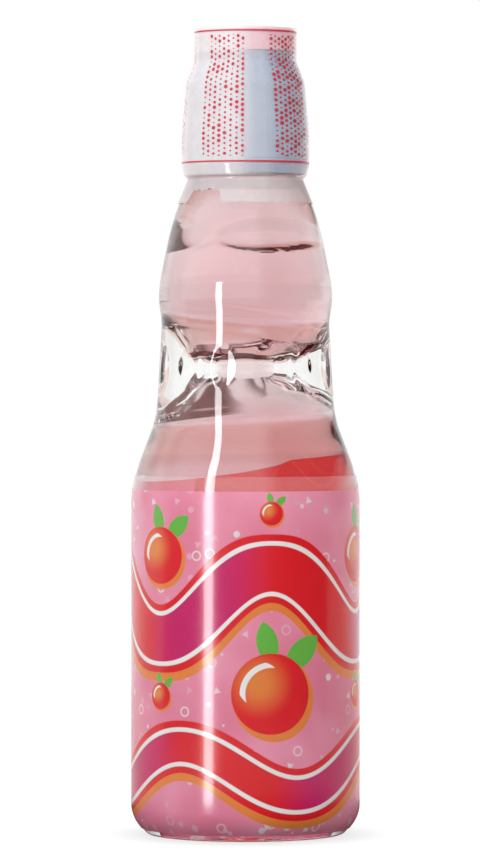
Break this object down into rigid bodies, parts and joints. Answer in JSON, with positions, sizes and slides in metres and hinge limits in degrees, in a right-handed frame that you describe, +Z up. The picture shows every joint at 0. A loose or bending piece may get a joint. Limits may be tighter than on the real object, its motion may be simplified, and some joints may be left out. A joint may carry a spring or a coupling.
{
  "type": "marble stopper bottle",
  "caption": "Glass soda bottle with a pinched, fluted waist and a chamber for the marble that seals its mouth, under a film-wrapped screw cap with a push opener and ring.",
  "frame": {"origin": "middle of the foot, on the surface that the bottle stands on", "axes": "+Z up along the bottle's axis, -Y out of the front that the picture shows, +X to the right in the picture"},
  "size_m": [0.0586, 0.0586, 0.206],
  "materials": {
    "clear_glass": "polished",
    "pink_drink": "gloss",
    "label_print": "gloss",
    "marble_glass": "polished",
    "gasket_rubber": "matte",
    "cap_plastic": "satin",
    "opener_plastic": "satin",
    "ring_plastic": "satin",
    "clear_film": "gloss"
  },
  "bodies": {
    "bottle": {"glass_bottle": "clear_glass", "body_label": "label_print", "drink": "pink_drink"},
    "marble": {"marble": "marble_glass"},
    "gasket": {"cap_gasket": "gasket_rubber"},
    "cap": {"screw_cap": "cap_plastic"},
    "ring": {"opener_ring": "ring_plastic"},
    "opener": {"opener_plunger": "opener_plastic"},
    "film": {"cap_film": "clear_film"}
  },
  "joints": [
    {"name": "marble_drop", "type": "slide", "parent": "bottle", "child": "marble", "axis": [0, 0, 1], "range_m": [-0.0587, 0], "deforming": ["drink"]},
    {"name": "cap_lift", "type": "slide", "parent": "bottle", "child": "gasket", "axis": [0, 0, 1], "range_m": [0, 0.01201]},
    {"name": "cap_turn", "type": "hinge", "parent": "gasket", "child": "cap", "pos_m": [0, 0, 0.18], "axis": [0, 0, 1], "range_deg": [-1080, 0]},
    {"name": "ring_lift", "type": "slide", "parent": "cap", "child": "ring", "axis": [0, 0, 1], "range_m": [0, 0.03]},
    {"name": "opener_press", "type": "slide", "parent": "ring", "child": "opener", "axis": [0, 0, 1], "range_m": [-0.00301, 0]},
    {"name": "film_pull", "type": "slide", "parent": "cap", "child": "film", "axis": [0, 0, 1], "range_m": [0, 0.045], "deforming": ["cap_film"]}
  ],
  "couplings": [
    {"joint": "cap_lift", "follows": "cap_turn", "m_per_rad": -0.00063662},
    {"joint": "opener_press", "follows": "marble_drop", "ratio": 0.051107}
  ]
}
